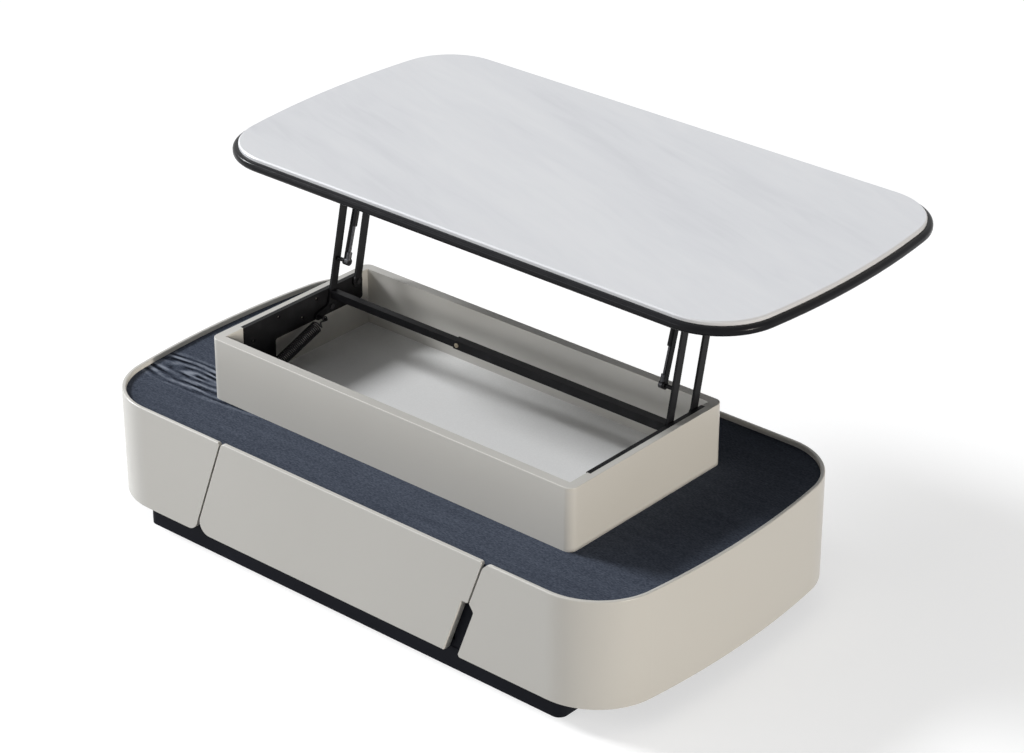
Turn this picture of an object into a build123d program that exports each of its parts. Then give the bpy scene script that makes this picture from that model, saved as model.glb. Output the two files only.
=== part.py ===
"""Lift-top coffee table: a drum base with a drawer, a storage tray and a stone top on swing-arm lift hinges.

X runs along the table's length, the drawer's side faces -Y, and Z is up from the floor. The origin is the
centre of the plinth on the floor. The top is drawn raised, as it stands on the lift's stop.
"""

import os
from math import atan2, cos, degrees, dist, pi, radians, sin, sqrt, tan

from build123d import *

os.makedirs("parts", exist_ok=True)

# Driving dimensions, in millimetres and degrees
# Drum
base_length = 1300.0
base_depth = 705.0
end_bulge = 35.0
corner_radius = 136.0
drum_height = 216.0
shell_thickness = 15.0
rim_thickness = 8.0
rim_round = 2.5
bottom_thickness = 15.0
deck_thickness = 12.0
deck_drop = 9.0
back_seam_x = 420.0

# Plinth
plinth_height = 45.0
plinth_end_recess = 133.0
plinth_recess = 18.5
plinth_board = 20.0
plinth_corner = 18.0

# Drawer front and its slanted seams
left_seam_top_x = -287.5
right_seam_top_x = 357.0
seam_tilt = 20.4
seam_gap = 4.0
front_thickness = 18.0
front_edge_round = 1.5
front_relief = 2.0
slot_height = 120.0
slot_panel_cut = 15.5
slot_scoop_front = 14.0
slot_scoop_back = 13.5
slot_scoop_bulge = 1.5
slot_shoulder = 14.0
backer_thickness = 10.0
backer_gap = 1.0
backer_margin = 10.0
panel_foot_round = 24.0
panel_head_round = 5.0
drawer_foot_round = 24.0
drawer_head_round = 11.0
slot_round = 8.0
slot_foot_round = 5.0
right_head_round = 26.0
small_round = 4.0

# Drawer box and runners
drawer_width = 520.0
drawer_depth = 375.0
drawer_side_height = 118.0
drawer_lift = 12.0
drawer_board = 12.0
drawer_bottom_board = 6.0
drawer_bottom_rise = 5.0
runner_width = 12.7
runner_height = 45.0
runner_length = 350.0
runner_setback = 8.0
runner_sheet = 1.5
runner_play = 0.3
partition_board = 16.0

# Tray
tray_length = 884.0
tray_depth = 428.0
tray_centre_y = -6.0
tray_height = 127.0
tray_wall = 20.0
tray_floor_board = 10.0
tray_edge_round = 1.5
tray_corner_round = 17.0

# Top
top_length = 1300.0
top_depth = 690.0
top_board = 17.0
top_edge_round = 7.0
slab_thickness = 8.0
slab_inset = 11.5
slab_bevel = 2.5
bumper_radius = 8.0
bumper_spread = 600.0
bumper_play = 0.05

# Side plates of the lift, screwed inside the tray's end walls
plate_sheet = 2.5
plate_flange = 7.0
plate_front_gap = 46.0
plate_rear_gap = 18.0
plate_depth = 54.0
plate_heel_width = 82.0
plate_heel_gap = 6.0
plate_round = 6.0
screw_head_radius = 4.0
screw_head_thickness = 1.5
screw_radius = 2.0
screw_length = 14.0
pilot_play = 0.3
plate_screw_high = 11.0
plate_screw_low = 36.0
plate_screws_high_at = (93.0, 197.0)
plate_screws_low_at = (24.0, 157.0)

# Lift arms, each pair a parallelogram whose rear pivots stand higher than its front ones
arm_length = 255.0
arm_lean = 12.5
lift_turn = 103.5
rear_pivot_margin = 18.0
rear_pivot_drop = 11.0
rear_offset_y = 76.0
rear_offset_rise = 26.0
rear_top_drop = 19.5
arm_width = 17.0
arm_thickness = 5.0
boss_radius = 12.0
pin_radius = 4.0
running_clearance = 0.05
pin_head_radius = 5.5
pin_head_thickness = 2.5
rivet_head_radius = 7.0
rivet_head_thickness = 1.0
collar_radius = 9.0
collar_thickness = 1.2
side_play = 0.3

# Crossbar between the front arms
crossbar_height = 26.6
sleeve_size = 18.0
sleeve_wall = 1.3
bar_play = 0.2
bar_wall = 1.3
sleeve_end_x = -93.0
bar_overlap = 120.0
clamp_screw_radius = 4.5
clamp_screw_height = 2.5
clamp_screw_setback = 9.0

# Tension springs
spring_inboard = 25.0
spring_coil_radius = 10.8
spring_wire = 3.0
spring_coil_gap = 1.3
spring_start = 60.0
spring_loop_play = 0.3
spring_leg = 9.0
spring_ramp = 14.0
spring_pin_radius = 3.0
spring_pin_reach = 5.0
spring_anchor_margin = 42.0
spring_anchor_rise = 12.0
tail_back = 36.0
tail_drop = 9.0
tail_width = 16.0

# Struts beside the front arms
strut_inboard = 27.0
strut_stud_height = 98.6
strut_top_back = 9.2
strut_top_drop = 4.3
strut_eye_radius = 7.5
strut_eye_width = 8.0
strut_rod_radius = 3.0
strut_rod_margin = 26.0
strut_travel = 12.0
strut_nut_radius = 5.5
strut_nut_height = 19.0
strut_tube_radius = 5.5
strut_tube_start = 72.0
strut_tube_end = 5.0
strut_bar_length = 112.0
strut_bar_width = 8.0
strut_bar_sheet = 3.0
strut_bar_gap = 0.3
strut_pin_radius = 2.5
strut_pin_proud = 1.5
strut_window_play = 4.6
strut_ear_rim = 5.0
strut_ear_gap = 2.0

# Rails under the top
rail_sheet = 2.5
rail_front_margin = 37.0
rail_length = 360.0
rail_inner_margin = 8.0
rail_screw_margin = 15.0
rail_screw_count = 4
ear_sheet = 3.0
ear_gap = 0.6

# Levels and places worked out from the driving dimensions
front_y = -base_depth / 2
rim_level = plinth_height + drum_height
deck_level = rim_level - deck_drop
deck_under = deck_level - deck_thickness
bottom_top = plinth_height + bottom_thickness
slot_top = plinth_height + slot_height
front_back_y = front_y + front_thickness
relief_y = front_back_y + front_relief
rim_back_y = front_y + rim_thickness
drawer_floor = bottom_top + drawer_lift
partition_x = drawer_width / 2 + runner_width
runner_level = drawer_floor + drawer_side_height / 2

tray_top = deck_level + tray_height
tray_floor_top = deck_level + tray_floor_board
tray_inner_x = tray_length / 2 - tray_wall
tray_front_y = tray_centre_y - tray_depth / 2
tray_back_y = tray_centre_y + tray_depth / 2
well_front_y = tray_front_y + tray_wall
well_back_y = tray_back_y - tray_wall
plate_front_y = well_front_y + plate_front_gap
plate_rear_y = well_back_y - plate_rear_gap
heel_level = tray_floor_top + plate_heel_gap

lower_rear = Vector(0, plate_rear_y - rear_pivot_margin, tray_top - rear_pivot_drop)
rear_offset = Vector(0, rear_offset_y, rear_offset_rise)
lower_front = lower_rear - rear_offset
arm_reach = Vector(0, arm_length * sin(radians(arm_lean)), arm_length * cos(radians(arm_lean)))
arm_way = arm_reach.normalized()
upper_front = lower_front + arm_reach
upper_rear = lower_rear + arm_reach
top_under = upper_rear.Z + rear_top_drop
folded_angle = radians(90 - arm_lean + lift_turn)
top_shift = arm_reach.Y - arm_length * cos(folded_angle)
top_fall = arm_reach.Z - arm_length * sin(folded_angle)
bumper_height = top_under - top_fall - tray_top - bumper_play

crossbar_at = lower_front + arm_way * crossbar_height
spring_anchor = Vector(0, plate_front_y + spring_anchor_margin, heel_level + spring_anchor_rise)
spring_tail = lower_front - Vector(0, tail_back, tail_drop)
strut_stud = lower_front + arm_way * strut_stud_height
strut_top = upper_front + Vector(0, strut_top_back, -strut_top_drop)
strut_run = (strut_top - strut_stud).length
strut_way = (strut_top - strut_stud).normalized()

# Places along X, outermost first, for the right-hand side
plate_x = tray_inner_x - plate_sheet
arm_outer_x = plate_x - collar_thickness - side_play
arm_inner_x = arm_outer_x - arm_thickness
pin_head_x = arm_inner_x - side_play
ear_outer_x = arm_inner_x - ear_gap
ear_inner_x = ear_outer_x - ear_sheet
spring_x = tray_inner_x - spring_inboard
strut_x = arm_inner_x - strut_inboard
strut_side_x = strut_x + strut_tube_radius
strut_ear_x = strut_side_x + strut_ear_gap
rail_inner_x = strut_x - strut_tube_radius - rail_inner_margin

sides = {"left": -1, "right": 1}


def keep(piece, name):
    """Labels a finished piece and writes it."""
    piece.part.label = name
    export_step(piece.part, f"parts/{name}.step")


def plan(length, depth, inset=0.0):
    """The table's outline seen from above: straight sides, bowed ends and round corners."""
    shoulder = length / 2 - end_bulge
    half = depth / 2
    with BuildSketch() as outline:
        with BuildLine():
            Line((-shoulder, -half), (shoulder, -half))
            ThreePointArc((shoulder, -half), (length / 2, 0), (shoulder, half))
            Line((shoulder, half), (-shoulder, half))
            ThreePointArc((-shoulder, half), (-length / 2, 0), (-shoulder, -half))
        make_face()
        fillet(outline.vertices(), corner_radius)
        if inset:
            offset(amount=-inset, mode=Mode.REPLACE)
    return outline.sketch


def seam_x(top_x, level):
    """Where a slanted seam lies at a level."""
    return top_x - (rim_level - level) * tan(radians(seam_tilt))


def board(name, low, high):
    """Writes a plain board between two opposite corners."""
    with BuildPart() as piece:
        with Locations(tuple((a + b) / 2 for a, b in zip(low, high))):
            Box(*(abs(b - a) for a, b in zip(low, high)))
    keep(piece, name)


def across(sx, x):
    """The plane across the table at +-x, where a sketch's two axes are Y and Z."""
    return Plane.YZ.offset(sx * x)


def spot(point):
    """A point's place in such a sketch."""
    return (point.Y, point.Z)


# Base

def make_plinth():
    """Five rails on the floor: two long ones with rounded ends, and three short ones between them."""
    face = front_y + plinth_recess
    back = face + plinth_board
    length = base_length - 2 * plinth_end_recess
    for name, sy in {"plinth_front": 1, "plinth_back": -1}.items():
        with BuildPart() as rail:
            with BuildSketch():
                with Locations((0, sy * (face + back) / 2)):
                    Rectangle(length, plinth_board)
            extrude(amount=plinth_height)
            outer = rail.edges().filter_by(Axis.Z).group_by(Axis.Y)[0 if sy > 0 else -1]
            fillet(outer, min(plinth_corner, 0.9 * plinth_board))
        keep(rail, name)
    end = (length - plinth_board) / 2
    for name, x in {"plinth_left": -end, "plinth_centre": 0, "plinth_right": end}.items():
        board(name, (x - plinth_board / 2, back, 0), (x + plinth_board / 2, -back, plinth_height))


def make_panels():
    """The drum's bottom panel, and its deck in the shell's rebate, both cut back behind the drawer front."""
    for name, low, thickness, inset, cut_y in (
        ("bottom_panel", plinth_height, bottom_thickness, shell_thickness, relief_y),
        ("deck", deck_under, deck_thickness, rim_thickness, rim_back_y + front_relief),
    ):
        cut_left = seam_x(left_seam_top_x, low) - seam_gap
        cut_right = right_seam_top_x + seam_gap
        with BuildPart() as panel:
            with BuildSketch(Plane.XY.offset(low)):
                add(plan(base_length, base_depth, inset))
                with Locations(((cut_left + cut_right) / 2, (front_y + cut_y) / 2)):
                    Rectangle(cut_right - cut_left, cut_y - front_y, mode=Mode.SUBTRACT)
            extrude(amount=thickness)
        keep(panel, name)


def front_face(corners):
    """A face in the front's plane from corners, each with its place and its round."""
    with BuildSketch(Plane.XZ) as face:
        with BuildLine():
            Polyline(*(corner for corner, _ in corners), close=True)
        make_face()
        for corner, radius in corners:
            if radius:
                fillet(face.vertices().sort_by_distance(Vector(*corner))[:1], radius)
    return face.sketch


def left_panel_face():
    """The left shell's front, up to the drawer's left seam."""
    foot = seam_x(left_seam_top_x, plinth_height) - seam_gap / 2
    head = left_seam_top_x - seam_gap / 2
    return front_face((
        ((-base_length, plinth_height), 0),
        ((foot, plinth_height), panel_foot_round),
        ((head, rim_level), panel_head_round),
        ((-base_length, rim_level), 0),
    ))


def right_panel_face():
    """The right shell's front, up to the drawer's right seam, cut back beside the finger slot."""
    edge = right_seam_top_x + seam_gap / 2
    shoulder = slot_top - slot_shoulder
    return front_face((
        ((base_length, plinth_height), 0),
        ((seam_x(edge, plinth_height) + slot_panel_cut, plinth_height), slot_foot_round),
        ((seam_x(edge, shoulder) + slot_panel_cut, shoulder), slot_round),
        ((seam_x(edge, slot_top), slot_top), small_round),
        ((edge, rim_level), right_head_round),
        ((base_length, rim_level), 0),
    ))


def make_shell():
    """The drum's wall: two bent ends, from the drawer's seams round to the back, and a flat back panel.

    A rebate inside its rim takes the deck.
    """
    with BuildPart() as ring:
        with BuildSketch(Plane.XY.offset(plinth_height)):
            add(plan(base_length, base_depth))
            add(plan(base_length, base_depth, shell_thickness), mode=Mode.SUBTRACT)
        extrude(amount=drum_height)
        with BuildSketch(Plane.XY.offset(deck_under)):
            add(plan(base_length, base_depth, rim_thickness))
        extrude(amount=rim_level - deck_under, mode=Mode.SUBTRACT)
        fillet(ring.faces().sort_by(Axis.Z)[-1].edges(), min(rim_round, 0.45 * rim_thickness))
    mid_level = plinth_height + drum_height / 2
    for side, face in {"left": left_panel_face(), "right": right_panel_face()}.items():
        rear_x = sides[side] * (back_seam_x + base_length / 2)
        with BuildPart() as region:
            extrude(face, amount=base_depth)
            with Locations((rear_x, base_depth / 2, mid_level)):
                Box(base_length, base_depth, drum_height)
        with BuildPart() as shell:
            add(ring.part)
            add(region.part, mode=Mode.INTERSECT)
        keep(shell, f"shell_{side}")
    with BuildPart() as back_panel:
        add(ring.part)
        with Locations((0, base_depth / 2, mid_level)):
            Box(2 * back_seam_x, base_depth / 2, drum_height, mode=Mode.INTERSECT)
    keep(back_panel, "back_panel")


def make_carcass():
    """The partitions that carry the deck and the runners, and the dark board behind the finger slot."""
    backer_y = front_back_y + backer_gap
    backer_back = backer_y + backer_thickness
    outer_x = partition_x + partition_board
    for side, sx in sides.items():
        board(
            f"partition_{side}",
            (sx * partition_x, backer_back, bottom_top),
            (sx * outer_x, -front_y - shell_thickness, deck_under),
        )
    backer_right = seam_x(right_seam_top_x, slot_top) + slot_panel_cut + backer_margin
    board(
        "slot_backer",
        (partition_x, backer_y, bottom_top),
        (backer_right, backer_back, slot_top + backer_margin),
    )


def plate_screw_spots():
    """Where the side plates' screws go: an upper and a lower row."""
    high = [(plate_front_y + y, tray_top - plate_screw_high) for y in plate_screws_high_at]
    low = [(plate_front_y + y, tray_top - plate_screw_low) for y in plate_screws_low_at]
    return high + low


def make_tray():
    """The storage tray: four walls and a floor on the deck, with rebates for the side plates' flanges."""
    edge_round = min(tray_edge_round, 0.45 * tray_wall)
    corner_round = min(tray_corner_round, 0.9 * tray_wall)
    board(
        "tray_floor",
        (-tray_inner_x, well_front_y, deck_level),
        (tray_inner_x, well_back_y, tray_floor_top),
    )
    for name, middle, outer in (
        ("tray_front", tray_front_y + tray_wall / 2, 0),
        ("tray_back", tray_back_y - tray_wall / 2, -1),
    ):
        with BuildPart() as wall:
            with BuildSketch(Plane.XY.offset(deck_level)):
                with Locations((0, middle)):
                    Rectangle(tray_length, tray_wall)
            extrude(amount=tray_height)
            fillet(wall.edges().filter_by(Axis.Z).group_by(Axis.Y)[outer], corner_round)
            rim = wall.faces().sort_by(Axis.Z)[-1].edges().sort_by(Axis.Y)
            fillet(rim[:-1] if outer == 0 else rim[1:], edge_round)
        keep(wall, name)
    for side, sx in sides.items():
        with BuildPart() as wall:
            with BuildSketch(Plane.XY.offset(deck_level)):
                with Locations((sx * (tray_inner_x + tray_wall / 2), (well_front_y + well_back_y) / 2)):
                    Rectangle(tray_wall, well_back_y - well_front_y)
            extrude(amount=tray_height)
            rim = wall.faces().sort_by(Axis.Z)[-1].edges().sort_by(Axis.X)
            fillet(rim[-1 if sx > 0 else 0], edge_round)
            with BuildSketch(across(sx, tray_inner_x)):
                with Locations(((plate_front_y + plate_rear_y) / 2, tray_top - plate_sheet / 2)):
                    Rectangle(plate_rear_y - plate_front_y, plate_sheet)
            extrude(amount=sx * plate_flange, mode=Mode.SUBTRACT)
            with BuildSketch(across(sx, tray_inner_x)):
                with Locations(*plate_screw_spots()):
                    Circle(screw_radius + running_clearance)
            extrude(amount=sx * (screw_length - plate_sheet + pilot_play), mode=Mode.SUBTRACT)
        keep(wall, f"tray_{side}")


# Drawer

def drawer_face():
    """The drawer front's outline: both ends slant with the seams."""
    left = left_seam_top_x + seam_gap / 2
    right = right_seam_top_x - seam_gap / 2
    return front_face((
        ((seam_x(left, plinth_height), plinth_height), drawer_foot_round),
        ((seam_x(right, plinth_height), plinth_height), small_round),
        ((right, rim_level), small_round),
        ((left, rim_level), drawer_head_round),
    ))


def make_drawer():
    """The drawer: a front rebated for the deck and scooped out beside the finger slot, and its box."""
    edge = seam_x(right_seam_top_x, plinth_height) - seam_gap / 2
    proud = front_y - front_edge_round
    scoop_middle = (
        edge - (slot_scoop_front + slot_scoop_back) / 2 + slot_scoop_bulge,
        (front_y + front_back_y - slot_scoop_bulge) / 2,
    )
    rise = Vector(tan(radians(seam_tilt)), 0, 1)
    with BuildPart() as front:
        extrude(drawer_face().moved(Location((0, front_back_y, 0))), amount=front_thickness)
        fillet(front.faces().sort_by(Axis.Y)[0].edges(), front_edge_round)
        with BuildSketch(Plane.XY.offset(deck_under - front_relief)):
            with Locations((0, (rim_back_y + front_back_y) / 2)):
                Rectangle(base_length, front_back_y - rim_back_y)
        extrude(amount=deck_thickness + deck_drop + front_relief, mode=Mode.SUBTRACT)
        with BuildSketch(Plane.XY.offset(plinth_height)):
            with BuildLine():
                ThreePointArc(
                    (edge - slot_scoop_front, front_y), scoop_middle, (edge - slot_scoop_back, front_back_y)
                )
                Polyline(
                    (edge - slot_scoop_back, front_back_y),
                    (edge + slot_scoop_front, front_back_y),
                    (edge + slot_scoop_front, proud),
                    (edge - slot_scoop_front, proud),
                    (edge - slot_scoop_front, front_y),
                )
            make_face()
        extrude(amount=slot_height * rise.length, dir=rise, mode=Mode.SUBTRACT)
    keep(front, "drawer_front")

    outer_x = drawer_width / 2
    inner_x = outer_x - drawer_board
    box_back = front_back_y + drawer_depth
    box_top = drawer_floor + drawer_side_height
    under = drawer_floor + drawer_bottom_rise
    for side, sx in sides.items():
        board(f"drawer_{side}", (sx * inner_x, front_back_y, drawer_floor), (sx * outer_x, box_back, box_top))
    board("drawer_back", (-inner_x, box_back - drawer_board, drawer_floor), (inner_x, box_back, box_top))
    board(
        "drawer_bottom",
        (-inner_x, front_back_y, under),
        (inner_x, box_back - drawer_board, under + drawer_bottom_board),
    )


def make_runner(name, sx, web_x, reach_x, height):
    """One member of a runner: an upright web with a flange at its head and foot that reaches to reach_x."""
    middle_y = front_back_y + runner_setback + runner_length / 2
    web_width = runner_sheet if reach_x > web_x else -runner_sheet
    with BuildPart() as member:
        with Locations((sx * (web_x + web_width / 2), middle_y, runner_level)):
            Box(runner_sheet, runner_length, height)
        for level in (runner_level - (height - runner_sheet) / 2, runner_level + (height - runner_sheet) / 2):
            with Locations((sx * (web_x + reach_x) / 2, middle_y, level)):
                Box(abs(reach_x - web_x), runner_length, runner_sheet)
    keep(member, name)


def make_runners():
    """Two telescopic runners, each of three channels that nest with play."""
    step = runner_sheet + runner_play
    drawer_x = drawer_width / 2
    mid_x = partition_x - step
    for side, sx in sides.items():
        make_runner(f"runner_outer_{side}", sx, partition_x, drawer_x + step, runner_height)
        make_runner(f"runner_mid_{side}", sx, mid_x, drawer_x + step, runner_height - 2 * step)
        make_runner(f"runner_inner_{side}", sx, drawer_x, mid_x - step, runner_height - 4 * step)


# Lift

def make_plates():
    """The side plates: a flange over the tray's wall, a heel with the spring's pin, and sunk screws."""
    heel_y = plate_front_y + plate_heel_width
    waist = tray_top - plate_depth
    for side, sx in sides.items():
        with BuildPart() as plate:
            with BuildSketch(across(sx, plate_x)) as outline:
                with BuildLine():
                    Polyline(
                        (plate_front_y, tray_top),
                        (plate_rear_y, tray_top),
                        (plate_rear_y, waist),
                        (heel_y, waist),
                        (heel_y, heel_level),
                        (plate_front_y, heel_level),
                        close=True,
                    )
                make_face()
                fillet(outline.vertices().group_by(Axis.Y)[:-1], plate_round)
                with Locations(spot(lower_front), spot(lower_rear)):
                    Circle(pin_radius, mode=Mode.SUBTRACT)
                with Locations(*plate_screw_spots()):
                    Circle(screw_radius + running_clearance, mode=Mode.SUBTRACT)
            extrude(amount=sx * plate_sheet)
            with BuildSketch(across(sx, plate_x)):
                with Locations(*plate_screw_spots()):
                    Circle(screw_head_radius + running_clearance)
            extrude(amount=sx * screw_head_thickness, mode=Mode.SUBTRACT)
            with BuildSketch(across(sx, tray_inner_x)):
                with Locations(((plate_front_y + plate_rear_y) / 2, tray_top - plate_sheet / 2)):
                    Rectangle(plate_rear_y - plate_front_y, plate_sheet)
            extrude(amount=sx * plate_flange)
            with BuildSketch(across(sx, plate_x)):
                with Locations(spot(spring_anchor)):
                    Circle(spring_pin_radius)
            extrude(amount=-sx * (plate_x - spring_x + spring_pin_reach))
        keep(plate, f"side_plate_{side}")
    with BuildPart() as screws:
        for sx in sides.values():
            for radius, length in ((screw_head_radius, screw_head_thickness), (screw_radius, screw_length)):
                with BuildSketch(across(sx, plate_x)):
                    with Locations(*plate_screw_spots()):
                        Circle(radius)
                extrude(amount=sx * length)
    keep(screws, "plate_screws")


def make_arms():
    """The front arms, each with a tail and pin for the spring and a stud for the strut, and the rear arms."""
    tail = spring_tail - lower_front
    tail_turn = degrees(atan2(tail.Z, tail.Y))
    for side, sx in sides.items():
        for name, foot in {"front": lower_front, "rear": lower_rear}.items():
            head = foot + arm_reach
            with BuildPart() as arm:
                with BuildSketch(across(sx, arm_inner_x)):
                    with Locations(spot(foot + arm_reach * 0.5)):
                        SlotCenterToCenter(arm_length, arm_width, rotation=90 - arm_lean)
                    with Locations(spot(foot), spot(head)):
                        Circle(boss_radius)
                    if name == "front":
                        with Locations(spot(foot + tail * 0.5)):
                            SlotCenterToCenter(tail.length, tail_width, rotation=tail_turn)
                    with Locations(spot(foot), spot(head)):
                        Circle(pin_radius + running_clearance, mode=Mode.SUBTRACT)
                extrude(amount=sx * arm_thickness)
                if name == "front":
                    for pin, radius, reach in (
                        (strut_stud, pin_radius, strut_inboard + strut_eye_width / 2),
                        (spring_tail, spring_pin_radius, arm_inner_x - spring_x + spring_pin_reach),
                    ):
                        with BuildSketch(across(sx, arm_inner_x)):
                            with Locations(spot(pin)):
                                Circle(radius)
                        extrude(amount=-sx * reach)
            keep(arm, f"{name}_arm_{side}")


def make_pins(name, sx, pivots, lengths):
    """Turned pins on the given pivots, each a row of stretches from one x to another at a radius."""
    with BuildPart() as pins:
        for start, end, radius in lengths:
            with BuildSketch(across(sx, start)):
                with Locations(*(spot(pivot) for pivot in pivots)):
                    Circle(radius)
            extrude(amount=sx * (end - start))
    keep(pins, name)


def make_pivots():
    """The pins: each lower pair is riveted in a side plate, each upper pair in a top rail's ear."""
    lower_end = pin_head_x - pin_head_thickness
    upper_end = ear_inner_x - rivet_head_thickness
    upper_head_x = arm_outer_x + side_play / 2
    for side, sx in sides.items():
        make_pins(f"lower_pins_{side}", sx, (lower_front, lower_rear), (
            (lower_end, tray_inner_x, pin_radius),
            (lower_end, pin_head_x, pin_head_radius),
            (plate_x - collar_thickness, plate_x, collar_radius),
        ))
        make_pins(f"upper_pins_{side}", sx, (upper_front, upper_rear), (
            (upper_end, upper_head_x, pin_radius),
            (upper_end, ear_inner_x, rivet_head_radius),
            (upper_head_x, upper_head_x + rivet_head_thickness, rivet_head_radius),
        ))


def make_crossbar():
    """The telescopic bar that ties the two front arms together, with its clamp screw."""
    bar_size = sleeve_size - 2 * (sleeve_wall + bar_play)
    for name, size, wall, start, end in (
        ("crossbar_sleeve", sleeve_size, sleeve_wall, sleeve_end_x, arm_inner_x),
        ("crossbar_inner", bar_size, bar_wall, -arm_inner_x, sleeve_end_x + bar_overlap),
    ):
        with BuildPart() as bar:
            with BuildSketch(Plane.YZ.offset(start)):
                with Locations(spot(crossbar_at)):
                    Rectangle(size, size)
                    Rectangle(size - 2 * wall, size - 2 * wall, mode=Mode.SUBTRACT)
            extrude(amount=end - start)
        keep(bar, name)
    with BuildPart() as screw:
        with BuildSketch(Plane.XZ.offset(sleeve_size / 2 - crossbar_at.Y)):
            with Locations((sleeve_end_x + clamp_screw_setback, crossbar_at.Z)):
                Circle(clamp_screw_radius)
        extrude(amount=clamp_screw_height)
    keep(screw, "crossbar_screw")


def biarc(p0, t0, p1, t1):
    """Two arcs that leave p0 along t0 and reach p1 along t1."""
    chord = p1 - p0
    bend = 2 * (1 - t0.dot(t1))
    along = chord.dot(t0 + t1)
    reach = (sqrt(along * along + bend * chord.dot(chord)) - along) / bend
    near = p0 + t0 * reach
    far = p1 - t1 * reach
    middle = (near + far) * 0.5
    TangentArc(p0, middle, tangent=t0)
    TangentArc(middle, p1, tangent=far - near)


def least_gap(path, wire_size):
    """The least clear gap between stretches of a wound wire, measured on points a wire's radius apart."""
    count = int(2 * path.length / wire_size)
    points = [tuple(path.position_at(k / count)) for k in range(count + 1)]
    apart = 8
    return min(
        dist(p, q) - wire_size for k, p in enumerate(points) for q in points[k + apart:]
    )


def spring_path(sx):
    """A spring's centre line: a loop on its pin, a leg, the coil, and the same turned about at the tail."""
    anchor = spring_anchor + Vector(sx * spring_x, 0, 0)
    span = spring_tail - spring_anchor
    along = span.normalized()
    up = Vector(1, 0, 0).cross(along)
    loop_radius = spring_pin_radius + spring_loop_play + spring_wire / 2
    coil_start = spring_leg + spring_ramp
    coil_run = span.length - 2 * coil_start
    part_turn = 0.5 - spring_start / 180
    turns = round(coil_run / (spring_wire + spring_coil_gap) - part_turn) + part_turn
    pitch = coil_run / turns
    halves = 2 * int(turns)

    def place(a, b, c):
        """A point given along the spring from the anchor, up from it, and across it."""
        return anchor + along * a + up * b + Vector(c, 0, 0)

    def coil(turn):
        """A point of the coil and the way it runs there."""
        angle = radians(spring_start) + 2 * pi * turn
        radius = spring_coil_radius
        point = place(coil_start + pitch * turn, radius * cos(angle), radius * sin(angle))
        way = along * pitch + (up * -sin(angle) + Vector(cos(angle), 0, 0)) * (2 * pi * radius)
        return point, way.normalized()

    def loop(angle, end):
        """A point of the loop at an end, turned from the leg's start."""
        a = loop_radius * sin(radians(angle))
        b = loop_radius * cos(radians(angle))
        return place(a, b, 0) if end == 0 else place(span.length - a, -b, 0)

    leg_start = place(spring_leg, loop_radius, 0)
    leg_end = place(span.length - spring_leg, -loop_radius, 0)
    with BuildLine() as path:
        ThreePointArc(loop(-270, 0), loop(-225, 0), loop(-135, 0))
        ThreePointArc(loop(-135, 0), loop(-90, 0), loop(0, 0))
        Line(loop(0, 0), leg_start)
        biarc(leg_start, along, *coil(0))
        for half in range(halves):
            biarc(*coil(turns * half / halves), *coil(turns * (half + 1) / halves))
        biarc(*coil(turns), leg_end, along)
        Line(leg_end, loop(0, 1))
        ThreePointArc(loop(0, 1), loop(-90, 1), loop(-135, 1))
        ThreePointArc(loop(-135, 1), loop(-225, 1), loop(-270, 1))
    return path.wires()[0]


def make_springs():
    """The tension springs between the side plates' anchor pins and the front arms' tails."""
    for side, sx in sides.items():
        path = spring_path(sx)
        with BuildPart() as spring:
            with BuildSketch(Plane(origin=path @ 0, z_dir=path % 0)):
                Circle(spring_wire / 2)
            sweep(path=path)
        share = spring.part.volume / (path.length * pi * spring_wire**2 / 4)
        print(f"spring_{side}: least gap {least_gap(path, spring_wire):.2f} mm,")
        print(f"  wire {path.length:.0f} mm, volume {share:.4f} of section times length")
        keep(spring, f"spring_{side}")


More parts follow.
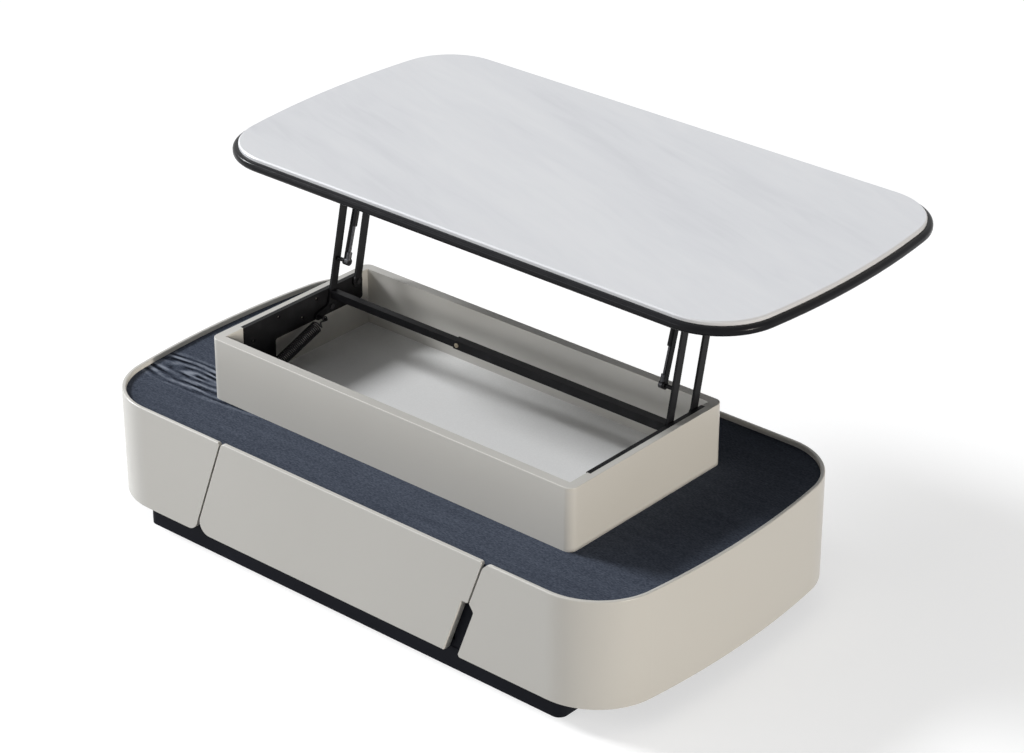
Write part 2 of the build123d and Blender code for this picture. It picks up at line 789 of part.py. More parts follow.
def make_struts():
    """A strut beside each front arm: a bar and a rod on its stud, and a tube that hangs from the top."""
    bar_x = strut_side_x + strut_bar_gap
    bar_tip = strut_way * strut_bar_length
    bore = strut_rod_radius + running_clearance
    for side, sx in sides.items():
        foot = strut_stud + Vector(sx * strut_x, 0, 0)
        with BuildPart() as bar:
            with BuildSketch(across(sx, bar_x)):
                with Locations(spot(strut_stud + bar_tip * 0.5)):
                    turn = degrees(atan2(bar_tip.Z, bar_tip.Y))
                    SlotCenterToCenter(strut_bar_length, strut_bar_width, rotation=turn)
                with Locations(spot(strut_stud)):
                    Circle(strut_eye_radius)
                    Circle(pin_radius + running_clearance, mode=Mode.SUBTRACT)
            extrude(amount=sx * strut_bar_sheet)
        keep(bar, f"strut_bar_{side}")

        with BuildPart() as rod:
            with BuildSketch(across(sx, strut_x - strut_eye_width / 2)):
                with Locations(spot(strut_stud)):
                    Circle(strut_eye_radius)
            extrude(amount=sx * strut_eye_width)
            for radius, length in (
                (strut_rod_radius, strut_run - strut_rod_margin),
                (strut_nut_radius, strut_nut_height),
            ):
                with BuildSketch(Plane(origin=foot, x_dir=(1, 0, 0), z_dir=strut_way)):
                    Circle(radius)
                extrude(amount=length)
            with BuildSketch(across(sx, strut_x - strut_eye_radius)):
                with Locations(spot(strut_stud)):
                    Circle(pin_radius + running_clearance)
            extrude(amount=sx * 2 * strut_eye_radius, mode=Mode.SUBTRACT)
        keep(rod, f"strut_rod_{side}")

        tube_foot = foot + strut_way * strut_tube_start
        with BuildPart() as tube:
            with BuildSketch(Plane(origin=tube_foot, x_dir=(1, 0, 0), z_dir=strut_way)):
                Circle(strut_tube_radius)
            extrude(amount=strut_run - strut_tube_start + strut_tube_end)
            with BuildSketch(Plane(origin=tube_foot, x_dir=(1, 0, 0), z_dir=strut_way)):
                Circle(bore)
            extrude(amount=strut_run - strut_tube_start - strut_rod_margin + strut_travel, mode=Mode.SUBTRACT)
            with BuildSketch(across(sx, strut_x)):
                with Locations(spot(strut_top)):
                    Circle(strut_pin_radius)
            extrude(amount=sx * (strut_ear_x + ear_sheet + strut_pin_proud - strut_x))
        keep(tube, f"strut_tube_{side}")


# Top

def rail_screw_places(sx):
    """Where a rail's screws go, in a row inboard of the strut."""
    x = sx * (rail_inner_x + strut_x) / 2
    first = upper_front.Y - rail_front_margin + rail_screw_margin
    step = (rail_length - 2 * rail_screw_margin) / (rail_screw_count - 1)
    return [(x, first + step * k) for k in range(rail_screw_count)]


def make_top():
    """The bullnosed board, the stone slab on it, and the bumpers that meet the tray when it is down."""
    board_round = min(top_edge_round, 0.45 * top_board)
    with BuildPart() as top:
        with BuildSketch(Plane((0, top_shift, top_under))):
            add(plan(top_length, top_depth))
        extrude(amount=top_board)
        faces = top.faces().sort_by(Axis.Z)
        fillet(faces[0].edges() + faces[-1].edges(), board_round)
        with BuildSketch(Plane.XY.offset(top_under)):
            for sx in sides.values():
                with Locations(*rail_screw_places(sx)):
                    Circle(screw_radius + running_clearance)
        extrude(amount=screw_length - rail_sheet + pilot_play, mode=Mode.SUBTRACT)
    keep(top, "top_board")
    with BuildPart() as slab:
        with BuildSketch(Plane((0, top_shift, top_under + top_board))):
            add(plan(top_length, top_depth, slab_inset))
        extrude(amount=slab_thickness)
        chamfer(slab.faces().sort_by(Axis.Z)[-1].edges(), min(slab_bevel, 0.8 * slab_thickness))
    keep(slab, "stone_slab")
    with BuildPart() as bumpers:
        with BuildSketch(Plane((0, top_shift, top_under - bumper_height))):
            for y in (tray_front_y + tray_wall / 2, tray_back_y - tray_wall / 2):
                with Locations((-bumper_spread / 2, y), (bumper_spread / 2, y)):
                    Circle(bumper_radius)
        extrude(amount=bumper_height)
    keep(bumpers, "bumpers")


def make_ear(points, radius, flange_level):
    """An ear's outline: round its pivots, and as wide as they are where it meets the rail's flange."""
    low = min(point.Y for point in points) - radius
    high = max(point.Y for point in points) + radius
    with BuildSketch() as outline:
        with Locations(*(spot(point) for point in points)):
            Circle(radius)
        with Locations(((low + high) / 2, flange_level + rail_sheet / 2)):
            Rectangle(high - low, rail_sheet)
        make_hull()
    return outline.sketch


def make_rails():
    """The rails under the top, each with an ear for the two arms and a smaller one round the strut's pin."""
    flange_level = top_under - rail_sheet
    middle_y = upper_front.Y - rail_front_margin + rail_length / 2
    window = strut_pin_radius + strut_window_play
    for side, sx in sides.items():
        with BuildPart() as rail:
            with BuildSketch(Plane.XY.offset(flange_level)):
                with Locations((sx * (rail_inner_x + ear_outer_x) / 2, middle_y)):
                    Rectangle(ear_outer_x - rail_inner_x, rail_length)
                with Locations(*rail_screw_places(sx)):
                    Circle(screw_radius + running_clearance, mode=Mode.SUBTRACT)
            extrude(amount=rail_sheet)
            with BuildSketch(Plane.XY.offset(flange_level)):
                with Locations(*rail_screw_places(sx)):
                    Circle(screw_head_radius + running_clearance)
            extrude(amount=screw_head_thickness, mode=Mode.SUBTRACT)
            with BuildSketch(across(sx, ear_inner_x)):
                add(make_ear((upper_front, upper_rear), boss_radius, flange_level))
                with Locations(spot(upper_front), spot(upper_rear)):
                    Circle(pin_radius, mode=Mode.SUBTRACT)
            extrude(amount=sx * ear_sheet)
            with BuildSketch(across(sx, strut_ear_x)):
                add(make_ear((strut_top,), window + strut_ear_rim, flange_level))
                with Locations(spot(strut_top)):
                    Circle(window, mode=Mode.SUBTRACT)
            extrude(amount=sx * ear_sheet)
        keep(rail, f"top_rail_{side}")
    with BuildPart() as screws:
        for sx in sides.values():
            for radius, length in ((screw_head_radius, screw_head_thickness), (screw_radius, screw_length)):
                with BuildSketch(Plane.XY.offset(flange_level)):
                    with Locations(*rail_screw_places(sx)):
                        Circle(radius)
                extrude(amount=length)
    keep(screws, "rail_screws")


make_plinth()
make_panels()
make_shell()
make_carcass()
make_tray()
make_drawer()
make_runners()
make_plates()
make_arms()
make_pivots()
make_crossbar()
make_springs()
make_struts()
make_top()
make_rails()
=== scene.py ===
"""Dresses a lift top coffee table, section by section, in the order in which the real one is put together."""

import math

import bpy
from mathutils import Matrix, Vector


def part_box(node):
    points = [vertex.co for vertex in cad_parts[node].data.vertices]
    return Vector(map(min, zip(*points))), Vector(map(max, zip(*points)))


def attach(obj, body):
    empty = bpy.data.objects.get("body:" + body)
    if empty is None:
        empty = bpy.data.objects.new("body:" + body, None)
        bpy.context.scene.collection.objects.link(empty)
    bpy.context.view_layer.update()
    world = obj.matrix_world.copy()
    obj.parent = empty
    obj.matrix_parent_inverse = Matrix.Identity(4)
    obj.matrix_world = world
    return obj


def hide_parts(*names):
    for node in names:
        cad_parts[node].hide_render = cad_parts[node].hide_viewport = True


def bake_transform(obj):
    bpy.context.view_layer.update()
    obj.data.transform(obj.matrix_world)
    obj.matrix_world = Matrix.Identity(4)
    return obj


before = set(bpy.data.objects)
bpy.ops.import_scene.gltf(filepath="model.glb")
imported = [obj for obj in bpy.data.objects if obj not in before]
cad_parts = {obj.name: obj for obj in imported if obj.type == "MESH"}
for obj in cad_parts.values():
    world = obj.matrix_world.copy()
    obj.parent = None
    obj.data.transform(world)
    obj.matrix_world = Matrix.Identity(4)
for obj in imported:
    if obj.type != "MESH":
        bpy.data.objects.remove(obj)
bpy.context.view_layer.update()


# Plinth: five boards on edge, sprayed matt charcoal, under the drum's bottom panel. That panel and the little
# board behind the finger slot have the same finish, so that the slot reads as one dark gap.

def put(tree, kind, inputs, **settings):
    """Adds one shader node with its settings, and gives each of its named inputs a value or a link."""
    made = tree.nodes.new("ShaderNode" + kind)
    for name, value in settings.items():
        setattr(made, name, value)
    for name, value in inputs.items():
        if isinstance(value, bpy.types.NodeSocket):
            tree.links.new(value, made.inputs[name])
        else:
            made.inputs[name].default_value = value
    return made


def finish(name, roughness, **sockets):
    """Starts a material: gives it back with its tree, its shader and the object's own coordinates."""
    material = bpy.data.materials.new(name)
    material.use_nodes = True
    tree = material.node_tree
    shader = tree.nodes["Principled BSDF"]
    shader.inputs["Roughness"].default_value = roughness
    for socket, value in sockets.items():
        shader.inputs[socket.replace("_", " ").title().replace("Ior", "IOR")].default_value = value
    return material, tree, shader, tree.nodes.new("ShaderNodeTexCoord").outputs["Object"]


def cloud(tree, place, scale, stretch=(1, 1, 1), detail=3.0, turn=0.0, warp=0.0):
    """A noise between 0 and 1, turned about Z, with its grain stretched along the turned axes."""
    if turn:
        place = put(tree, "Mapping", {"Vector": place, "Rotation": (0, 0, turn)}).outputs[0]
    spread = put(tree, "Mapping", {"Vector": place, "Scale": stretch})
    noise = {"Vector": spread.outputs[0], "Scale": scale, "Detail": detail, "Distortion": warp}
    return put(tree, "TexNoise", noise).outputs["Fac"]


def levels(tree, amount, low, high, start=0.0, end=1.0):
    """Spreads the stretch of a pattern between start and end over the values from low to high."""
    spread = {"Value": amount, "From Min": start, "From Max": end, "To Min": low, "To Max": high}
    return put(tree, "MapRange", spread).outputs["Result"]


def reckon(tree, operation, *values):
    """The result of a sum on patterns or plain numbers."""
    return put(tree, "Math", dict(enumerate(values)), operation=operation).outputs[0]


def paint(tree, shader, amount, *stops):
    """Runs the base colour through the given stops, each a place between 0 and 1 and a colour."""
    ramp = put(tree, "ValToRGB", {"Fac": amount})
    marks = ramp.color_ramp.elements
    while len(marks) < len(stops):
        marks.new(0.5)
    for mark, (at, colour) in zip(marks, stops):
        mark.position = at
        mark.color = (*colour, 1)
    tree.links.new(ramp.outputs["Color"], shader.inputs["Base Color"])


def polish(tree, shader, amount, low, high):
    """Lets the roughness follow a pattern, from low where the pattern is 0 to high where it is 1."""
    tree.links.new(levels(tree, amount, low, high), shader.inputs["Roughness"])


def relief(tree, shader, height, depth, strength=1.0):
    """Presses a pattern into the surface, depth metres deep."""
    bump = put(tree, "Bump", {"Height": height, "Distance": depth, "Strength": strength})
    tree.links.new(bump.outputs["Normal"], shader.inputs["Normal"])


def dress(material, *names):
    """Gives pieces of the solid model a finish."""
    for name in names:
        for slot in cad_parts[name].material_slots:
            slot.material = material


charcoal, tree, shader, place = finish("charcoal_lacquer", 0.5, specular_ior_level=0.04)
patches = cloud(tree, place, 9.0)
paint(tree, shader, patches, (0.3, (0.009, 0.010, 0.014)), (0.7, (0.014, 0.015, 0.021)))
polish(tree, shader, patches, 0.42, 0.56)
relief(tree, shader, cloud(tree, place, 900.0), 0.00004)
dress(charcoal, "plinth_front", "plinth_back", "plinth_left", "plinth_right", "plinth_centre")
dress(charcoal, "bottom_panel", "slot_backer")


# Carcass: the two partitions that carry the deck and the runners are plain faced board, seen only past the
# open drawer. A grey-brown melamine with a fine printed fibre.

melamine, tree, shader, place = finish("melamine_board", 0.55)
fibre = cloud(tree, place, 1.0, (40, 700, 700), 4.0)
paint(tree, shader, fibre, (0.3, (0.155, 0.145, 0.128)), (0.7, (0.215, 0.203, 0.182)))
relief(tree, shader, fibre, 0.00003)
dress(melamine, "partition_left", "partition_right")


# Drum and tray: bent and flat board in a sprayed satin greige. The coat is smooth, with the faint orange peel
# and the slight drift of tone that a spray gun leaves, and it is a little duller where the spray overlaps.

greige, tree, shader, place = finish("greige_lacquer", 0.35, coat_weight=0.2, coat_roughness=0.2)
drift = cloud(tree, place, 2.2, detail=2.0)
paint(tree, shader, drift, (0.25, (0.560, 0.545, 0.510)), (0.75, (0.595, 0.580, 0.545)))
polish(tree, shader, cloud(tree, place, 14.0), 0.3, 0.42)
relief(tree, shader, cloud(tree, place, 620.0, detail=1.0), 0.00005)
dress(greige, "shell_left", "shell_right", "back_panel", "drawer_front")
dress(greige, "tray_front", "tray_back", "tray_left", "tray_right")


# Deck: ash veneer, brushed so that its pores stay open and stained blue-black. The grain runs along the
# table, and one flame figure shows beside the tray's left end.

FLAME_AT = Vector((-0.515, -0.185, 0.0))
FLAME_STRETCH = 0.2
FLAME_HALF_WIDTH = 0.062

ash, tree, shader, place = finish(
    "blue_black_ash", 0.5, specular_ior_level=0.005, specular_tint=(0.8, 0.9, 1, 1)
)
pores = cloud(tree, place, 1.0, (190, 430, 1), 4.0)
strands = cloud(tree, place, 1.0, (9, 80, 1), 3.0)
centred = put(tree, "VectorMath", {0: place, 1: tuple(-FLAME_AT)}, operation="ADD").outputs[0]
drawn = put(tree, "Mapping", {"Vector": centred, "Scale": (FLAME_STRETCH, 1, 0)}).outputs[0]
wander = {"Distortion": 7.0, "Detail": 3.0, "Detail Scale": 1.3, "Detail Roughness": 0.6}
rings = put(
    tree, "TexWave", {"Vector": drawn, "Scale": 21.0, **wander}, wave_type="RINGS", rings_direction="Z"
).outputs["Fac"]
from_heart = put(tree, "VectorMath", {0: drawn}, operation="LENGTH").outputs["Value"]
in_flame = levels(tree, from_heart, 1.0, 0.0, 0.55 * FLAME_HALF_WIDTH, FLAME_HALF_WIDTH)
blotches = levels(tree, cloud(tree, place, 34.0, (0.6, 1, 1), 2.0), 0.1, 1.5, 0.3, 0.7)
bold_rings = reckon(tree, "MULTIPLY", levels(tree, rings, -0.40, 0.5), blotches)
speckle = reckon(tree, "MULTIPLY_ADD", pores, 0.5, levels(tree, strands, 0.12, 0.26))
grain = reckon(tree, "MULTIPLY_ADD", bold_rings, in_flame, speckle)
paint(
    tree, shader, grain,
    (0.12, (0.008, 0.010, 0.015)), (0.36, (0.045, 0.053, 0.073)), (0.52, (0.083, 0.096, 0.126)),
    (0.95, (0.242, 0.264, 0.312)),
)
polish(tree, shader, pores, 0.6, 0.42)
relief(tree, shader, pores, 0.0004, 0.6)
dress(ash, "deck")


# Drawer box: thin board faced with a pale paper that is printed and pressed like linen. The sides, the back
# and the bottom are glued and stapled together behind the lacquered front.

linen, tree, shader, place = finish("linen_faced_board", 0.6)
across = cloud(tree, place, 1.0, (300, 300, 2200), 2.0)
along = cloud(tree, place, 1.0, (2200, 2200, 300), 2.0)
weave = reckon(tree, "ADD", across, along)
paint(tree, shader, weave, (0.7, (0.35, 0.33, 0.295)), (1.0, (0.46, 0.44, 0.40)))
relief(tree, shader, weave, 0.00005)
dress(linen, "drawer_left", "drawer_right", "drawer_back", "drawer_bottom")


# Runners: three cold-rolled steel channels a side, zinc plated, with the draw marks along their length. The
# outer one is on a partition, the inner one is on the drawer's side, and the middle one slides between them.

zinc, tree, shader, place = finish("zinc_plated_steel", 0.35, metallic=1.0)
draw_marks = cloud(tree, place, 1.0, (2600, 12, 2600), 3.0)
paint(tree, shader, draw_marks, (0.3, (0.46, 0.47, 0.48)), (0.7, (0.60, 0.60, 0.60)))
polish(tree, shader, draw_marks, 0.25, 0.42)
sides = {"left": -1, "right": 1}
for side in sides:
    dress(zinc, f"runner_outer_{side}", f"runner_mid_{side}", f"runner_inner_{side}")


# Tray floor: a board faced with a pale matt laminate, which has fine flecks in its print. It is dropped in
# between the tray's four walls and lies on the deck.

lining, tree, shader, place = finish("pale_laminate", 0.48)
flecks = cloud(tree, place, 380.0, detail=4.0)
paint(tree, shader, flecks, (0.35, (0.83, 0.828, 0.82)), (0.65, (0.87, 0.868, 0.86)))
relief(tree, shader, flecks, 0.00003)
dress(lining, "tray_floor")


# Lift hardware: plates, arms, rails and the telescopic crossbar are pressed and welded steel in a black
# powder coat, slightly pebbled, with a little bare tone where the parts rub.

powder, tree, shader, place = finish("black_powder_coat", 0.42, specular_ior_level=0.13)
pebble = cloud(tree, place, 1100.0, detail=2.0)
rubbed = cloud(tree, place, 34.0, detail=5.0)
paint(tree, shader, rubbed, (0.45, (0.006, 0.006, 0.007)), (0.8, (0.014, 0.014, 0.016)))
polish(tree, shader, rubbed, 0.36, 0.5)
relief(tree, shader, pebble, 0.00008)
for side in sides:
    dress(powder, f"side_plate_{side}", f"front_arm_{side}", f"rear_arm_{side}", f"strut_bar_{side}")
    dress(powder, f"strut_tube_{side}", f"top_rail_{side}")
dress(powder, "crossbar_sleeve", "crossbar_inner")


# Pins and rods: turned steel in black zinc, on the arms' pivots and in the struts. The plating is a little
# grey where it is thin, and the screws have it too.

black_zinc, tree, shader, place = finish("black_zinc", 0.38, metallic=0.85)
tarnish = cloud(tree, place, 260.0)
paint(tree, shader, tarnish, (0.3, (0.025, 0.025, 0.028)), (0.7, (0.065, 0.065, 0.07)))
polish(tree, shader, tarnish, 0.3, 0.46)
for side in sides:
    dress(black_zinc, f"lower_pins_{side}", f"upper_pins_{side}", f"strut_rod_{side}")


# Screws: steel pan heads with a cross recess, in the side plates and in the rails under the top. For each of
# these two sets one head is turned and punched, and the set is made of its copies.

HEAD_RADIUS = 0.0040
HEAD_HEIGHT = 0.0012
HEAD_CROWN = 0.0006
RECESS_WIDTH = 0.0009
RECESS_HEIGHT = 0.0024
RECESS_MIDDLE = 0.0022


def clear_selection():
    """Leaves nothing selected."""
    if bpy.context.object and bpy.context.object.mode != "OBJECT":
        bpy.ops.object.mode_set(mode="OBJECT")
    bpy.ops.object.select_all(action="DESELECT")


def select_only(piece):
    """Leaves one piece selected and active."""
    clear_selection()
    bpy.context.view_layer.objects.active = piece
    piece.select_set(True)


def pick_faces(piece, wanted):
    """Enters edit mode with only the wanted faces selected."""
    select_only(piece)
    bpy.ops.object.mode_set(mode="EDIT")
    bpy.ops.mesh.select_mode(type="FACE")
    bpy.ops.mesh.select_all(action="DESELECT")
    bpy.ops.object.mode_set(mode="OBJECT")
    for face in piece.data.polygons:
        face.select = wanted(face)
    bpy.ops.object.mode_set(mode="EDIT")


def punch(piece, tool):
    """Cuts the tool's shape out of a piece and removes the tool."""
    cut = piece.modifiers.new("punch", "BOOLEAN")
    cut.operation = "DIFFERENCE"
    cut.object = tool
    select_only(piece)
    bpy.ops.object.modifier_apply(modifier=cut.name)
    bpy.data.objects.remove(tool)


def turned_head(name, radius, height, crown):
    """A screw's head, standing on the origin: a disc whose upper edge is crowned."""
    clear_selection()
    bpy.ops.mesh.primitive_cylinder_add(vertices=28, radius=radius, depth=height, location=(0, 0, height / 2))
    head = bpy.context.object
    head.name = name
    bpy.ops.object.transform_apply(location=True, rotation=True, scale=True)
    pick_faces(head, lambda face: face.normal.z > 0.9)
    bpy.ops.mesh.inset(thickness=0.32 * radius)
    bpy.ops.transform.translate(value=(0, 0, 0.7 * crown))
    bpy.ops.mesh.inset(thickness=0.3 * radius)
    bpy.ops.transform.translate(value=(0, 0, 0.3 * crown))
    bpy.ops.object.mode_set(mode="OBJECT")
    return head


def copies_at(pattern, name, material, spots):
    """Joins copies of a pattern into one piece, each set on a spot with its head along a direction."""
    made = []
    for point, way, turn in spots:
        copy = pattern.copy()
        copy.data = pattern.data.copy()
        bpy.context.scene.collection.objects.link(copy)
        facing = Vector(way).to_track_quat("Z", "Y").to_matrix().to_4x4()
        copy.data.transform(Matrix.Translation(point) @ facing @ Matrix.Rotation(turn, 4, "Z"))
        made.append(copy)
    clear_selection()
    for copy in made:
        copy.select_set(True)
    bpy.context.view_layer.objects.active = made[0]
    bpy.ops.object.join()
    made[0].name = name
    made[0].data.materials.clear()
    made[0].data.materials.append(material)
    bpy.data.objects.remove(pattern)
    return made[0]


def cross_head(name):
    """A crowned head with a cross punched into it, one bar after the other."""
    head = turned_head(name, HEAD_RADIUS, HEAD_HEIGHT, HEAD_CROWN)
    for turn in (0, math.pi / 2):
        clear_selection()
        bpy.ops.mesh.primitive_cube_add(size=1, location=(0, 0, RECESS_MIDDLE), rotation=(0, 0, turn))
        blade = bpy.context.object
        blade.scale = (1.15 * HEAD_RADIUS, RECESS_WIDTH, RECESS_HEIGHT)
        bpy.ops.object.transform_apply(location=True, rotation=True, scale=True)
        punch(head, blade)
    return head


def heads_of(name, faces_way):
    """The middle of each screw's outer face in a node that holds several, where it faces the given way."""
    way = Vector(faces_way)
    found = {}
    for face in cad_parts[name].data.polygons:
        if face.normal.dot(way) > 0.99:
            level = round(face.center.dot(way), 4)
            found.setdefault(level, []).append(face.center.copy())
    groups = []
    for centre in found[max(found)]:
        near = next((g for g in groups if (g[0] - centre).length < 2.5 * HEAD_RADIUS), None)
        if near is None:
            groups.append([centre])
        else:
            near.append(centre)
    middles = []
    for group in groups:
        low = Vector(map(min, *group)) if len(group) > 1 else group[0]
        high = Vector(map(max, *group)) if len(group) > 1 else group[0]
        middles.append((low + high) / 2)
    return middles


def screw_spots(name, faces_way, turn):
    """Where the heads of a node's screws stand, each turned by so much more than the one before."""
    way = Vector(faces_way)
    return [(at - way * HEAD_HEIGHT, way, turn * k) for k, at in enumerate(heads_of(name, faces_way))]


plate_spots = []
for sx in sides.values():
    plate_spots += screw_spots("plate_screws", (-sx, 0, 0), 0.7)
plate_heads = copies_at(cross_head("plate_head"), "plate_screw_heads", black_zinc, plate_spots)
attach(plate_heads, "base")
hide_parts("plate_screws")

rail_spots = screw_spots("rail_screws", (0, 0, -1), 1.1)
rail_heads = copies_at(cross_head("rail_head"), "rail_screw_heads", black_zinc, rail_spots)
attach(rail_heads, "top")
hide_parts("rail_screws")


# Clamp screw: a socket screw in yellowed zinc, which fixes the crossbar's inner tube in its sleeve. It is
# turned and punched as the others are.

yellow_zinc, tree, shader, place = finish("yellow_zinc", 0.4, metallic=1.0)
bloom = cloud(tree, place, 600.0)
paint(tree, shader, bloom, (0.3, (0.36, 0.31, 0.23)), (0.7, (0.50, 0.45, 0.36)))
polish(tree, shader, bloom, 0.34, 0.5)

low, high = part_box("crossbar_screw")
clamp_radius = (high.x - low.x) / 2
clamp_height = high.y - low.y
clamp_foot = Vector(((low.x + high.x) / 2, high.y, (low.z + high.z) / 2))
socket_head = turned_head("socket_head", clamp_radius, 0.72 * clamp_height, 0.28 * clamp_height)
clear_selection()
bpy.ops.mesh.primitive_cylinder_add(
    vertices=6, radius=0.5 * clamp_radius, depth=clamp_height, location=(0, 0, 0.95 * clamp_height)
)
key_hole = bpy.context.object
bpy.ops.object.transform_apply(location=True, rotation=True, scale=True)
punch(socket_head, key_hole)
clamp = copies_at(socket_head, "crossbar_clamp_screw", yellow_zinc, [(clamp_foot, (0, -1, 0), 0.3)])
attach(clamp, "lift_arms")
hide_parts("crossbar_screw")


# Springs: cold-wound tension springs in black phosphate, with a loop at each end that hangs on its pin.

SPRING_ANCHOR = Vector((0, -0.112, 0.280))
SPRING_TAIL = Vector((0, 0.040, 0.333))
SPRING_X = 0.397
COIL_RADIUS = 0.0108
COIL_FIRST_ANGLE = math.radians(60)
WIRE = 0.003
COIL_GAP = 0.0013
LOOP_RADIUS = 0.0048
LEG = 0.009
RAMP = 0.014
STEPS_PER_TURN = 24

phosphate, tree, shader, place = finish("black_phosphate", 0.4, metallic=0.6)
scale_marks = cloud(tree, place, 420.0)
paint(tree, shader, scale_marks, (0.35, (0.012, 0.012, 0.013)), (0.75, (0.03, 0.03, 0.033)))
polish(tree, shader, scale_marks, 0.32, 0.5)


def spring_route(sx):
    """Points along a spring's wire: a loop, a leg, the coil, and the same turned about at the other end."""
    span = SPRING_TAIL - SPRING_ANCHOR
    along = span.normalized()
    up = Vector((1, 0, 0)).cross(along)
    start = SPRING_ANCHOR + Vector((sx * SPRING_X, 0, 0))

    def at(a, b, c):
        return start + along * a + up * b + Vector((c, 0, 0))

    end_loop = []
    for degrees in range(-270, 1, 15):
        angle = math.radians(degrees)
        end_loop.append((LOOP_RADIUS * math.sin(angle), LOOP_RADIUS * math.cos(angle)))
    route = [at(a, b, 0) for a, b in end_loop]
    coil_start = LEG + RAMP
    coil_run = span.length - 2 * coil_start
    turns = round(coil_run / (WIRE + COIL_GAP))
    count = turns * STEPS_PER_TURN
    half_turn = STEPS_PER_TURN // 2
    for k in range(-half_turn, count + half_turn + 1):
        share = min(max(k / count, 0), 1)
        angle = COIL_FIRST_ANGLE + 2 * math.pi * turns * k / count
        past = max(-k, k - count, 0) / half_turn
        radius = COIL_RADIUS - (COIL_RADIUS - 0.55 * LOOP_RADIUS) * past
        slide = coil_start + coil_run * share + (RAMP * past if k > count else -RAMP * past)
        route.append(at(slide, radius * math.cos(angle), radius * math.sin(angle)))
    return route + [at(span.length - a, -b, 0) for a, b in reversed(end_loop)]


for side, sx in sides.items():
    wire = bpy.data.curves.new(f"spring_wire_{side}", "CURVE")
    wire.dimensions = "3D"
    wire.bevel_depth = WIRE / 2
    wire.bevel_resolution = 2
    wire.use_fill_caps = True
    route = spring_route(sx)
    spline = wire.splines.new("POLY")
    spline.points.add(len(route) - 1)
    for point, spot in zip(spline.points, route):
        point.co = (*spot, 1)
    spring = bpy.data.objects.new(f"tension_spring_{side}", wire)
    bpy.context.scene.collection.objects.link(spring)
    select_only(spring)
    bpy.ops.object.convert(target="MESH")
    spring = bpy.context.object
    bpy.ops.object.shade_smooth()
    spring.data.materials.clear()
    spring.data.materials.append(phosphate)
    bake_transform(spring)
    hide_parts(f"spring_{side}")


# Top: a board with a bullnosed edge in black satin lacquer, a pale stone slab with a bevelled edge bonded on
# it, and soft rubber bumpers below. The stone is honed, nearly even in tone, with faint veins at a slant.

VEIN_TURN = math.radians(17)

edge_black, tree, shader, place = finish("black_satin_lacquer", 0.25, specular_ior_level=0.11)
haze = cloud(tree, place, 24.0)
paint(tree, shader, haze, (0.3, (0.006, 0.006, 0.008)), (0.7, (0.010, 0.010, 0.012)))
polish(tree, shader, haze, 0.21, 0.3)
relief(tree, shader, cloud(tree, place, 700.0, detail=1.0), 0.00004)
dress(edge_black, "top_board")

stone, tree, shader, place = finish("honed_pale_stone", 0.34)
banks = cloud(tree, place, 1.0, (1.6, 7.0, 1), 4.0, VEIN_TURN, 0.6)
threads = cloud(tree, place, 1.0, (5.0, 34.0, 1), 6.0, VEIN_TURN, 1.2)
mottle = reckon(tree, "MULTIPLY_ADD", threads, 0.45, banks)
paint(
    tree, shader, mottle,
    (0.42, (0.655, 0.661, 0.690)), (0.66, (0.712, 0.719, 0.745)), (0.92, (0.748, 0.754, 0.774)),
)
polish(tree, shader, mottle, 0.4, 0.3)
dress(stone, "stone_slab")

rubber, tree, shader, place = finish("soft_black_rubber", 0.75)
dust = cloud(tree, place, 500.0)
paint(tree, shader, dust, (0.3, (0.02, 0.02, 0.02)), (0.7, (0.032, 0.032, 0.032)))
relief(tree, shader, dust, 0.0001)
dress(rubber, "bumpers")


# Studio: a white paper sweep in a white room that is lighter on the left. A soft key stands on the left, a
# low warm fill on the right, and a wide softbox in front, which glints on the top's dark edge.

FLOOR_SIZE = 60
TABLE_MIDDLE = Vector((0.06, 0.06, 0.3))


def from_camera(tree):
    """1 for the rays that see the backdrop itself or its reflection, and 0 for those that carry its light."""
    path = tree.nodes.new("ShaderNodeLightPath").outputs
    seen = reckon(tree, "MAXIMUM", path["Is Camera Ray"], path["Is Glossy Ray"])
    return reckon(tree, "MAXIMUM", seen, path["Is Transmission Ray"])


clear_selection()
bpy.ops.mesh.primitive_plane_add(size=FLOOR_SIZE, location=(0, 0, 0))
floor = bpy.context.object
floor.name = "studio_floor"
paper, tree, shader, place = finish("white_paper", 0.9, specular_ior_level=0.0, emission_color=(1, 1, 1, 1))
seen = from_camera(tree)
tree.links.new(levels(tree, seen, 0.33, 0.48), shader.inputs["Base Color"])
tree.links.new(levels(tree, seen, 0.0, 0.63), shader.inputs["Emission Strength"])
floor.data.materials.append(paper)

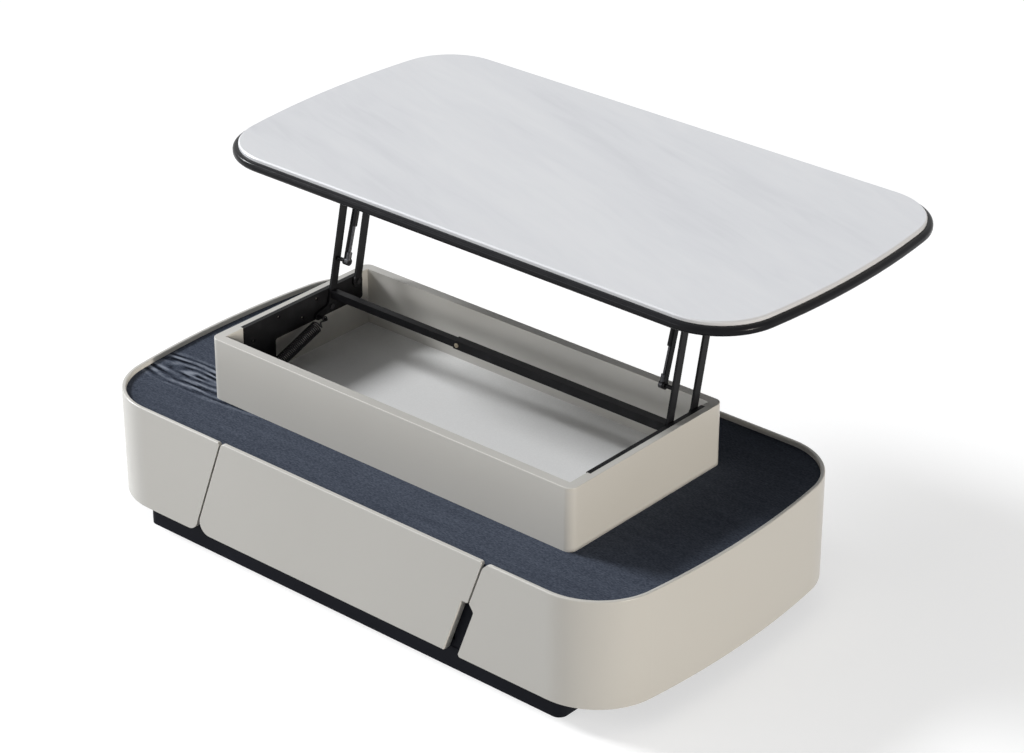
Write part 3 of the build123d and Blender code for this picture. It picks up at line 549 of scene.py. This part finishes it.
world = bpy.data.worlds.new("white_room")
bpy.context.scene.world = world
world.use_nodes = True
tree = world.node_tree
backdrop = tree.nodes["Background"]
backdrop.inputs["Color"].default_value = (1, 1, 1, 1)
outward = tree.nodes.new("ShaderNodeTexCoord").outputs["Generated"]
to_right = put(tree, "SeparateXYZ", {"Vector": outward}).outputs["X"]
room = levels(tree, to_right, 0.56, 0.03, -1.0, 1.0)
glow = put(tree, "MapRange", {"Value": from_camera(tree), "To Min": room, "To Max": 1.0}).outputs["Result"]
tree.links.new(glow, backdrop.inputs["Strength"])


def lamp(name, kind, power, colour, way, distance):
    """A lamp that stands off from the table in a direction and is turned to its middle."""
    light = bpy.data.lights.new(name, kind)
    light.energy = power
    light.color = colour
    holder = bpy.data.objects.new(name, light)
    holder.location = TABLE_MIDDLE + Vector(way) * distance
    holder.rotation_euler = (-Vector(way)).to_track_quat("-Z", "Y").to_euler()
    bpy.context.scene.collection.objects.link(holder)
    return light


key = lamp("key", "SUN", 3.2, (0.97, 0.985, 1.0), (-0.81, -0.175, 0.515), 4)
key.angle = math.radians(14)
fill = lamp("warm_fill", "SUN", 2.35, (1.0, 0.94, 0.85), (0.97, -0.1, 0.04), 4)
fill.angle = math.radians(4)
softbox = lamp("softbox", "AREA", 26, (0.97, 0.985, 1.0), (-0.5, -0.82, 0.28), 3.5)
softbox.shape = "RECTANGLE"
softbox.size = 2.5
softbox.size_y = 0.8

AZIMUTH = math.radians(40.92)
ELEVATION = math.radians(27.71)
DISTANCE = 5.59781
AIM = Vector((0.06269, 0.06233, 0.35657))
SENSOR_WIDTH = 36
FOCAL_LENGTH_PIXELS = 3031.24
PICTURE_WIDTH_PIXELS = 1024

camera = bpy.data.cameras.new("camera")
camera.sensor_width = SENSOR_WIDTH
camera.lens = FOCAL_LENGTH_PIXELS * SENSOR_WIDTH / PICTURE_WIDTH_PIXELS
stand = bpy.data.objects.new("camera", camera)
back = Vector((
    math.sin(AZIMUTH) * math.cos(ELEVATION), -math.cos(AZIMUTH) * math.cos(ELEVATION), math.sin(ELEVATION)
))
stand.location = AIM + back * DISTANCE
stand.rotation_euler = (-back).to_track_quat("-Z", "Y").to_euler()
bpy.context.scene.collection.objects.link(stand)
bpy.context.scene.camera = stand
bpy.context.scene.view_settings.view_transform = "Standard"
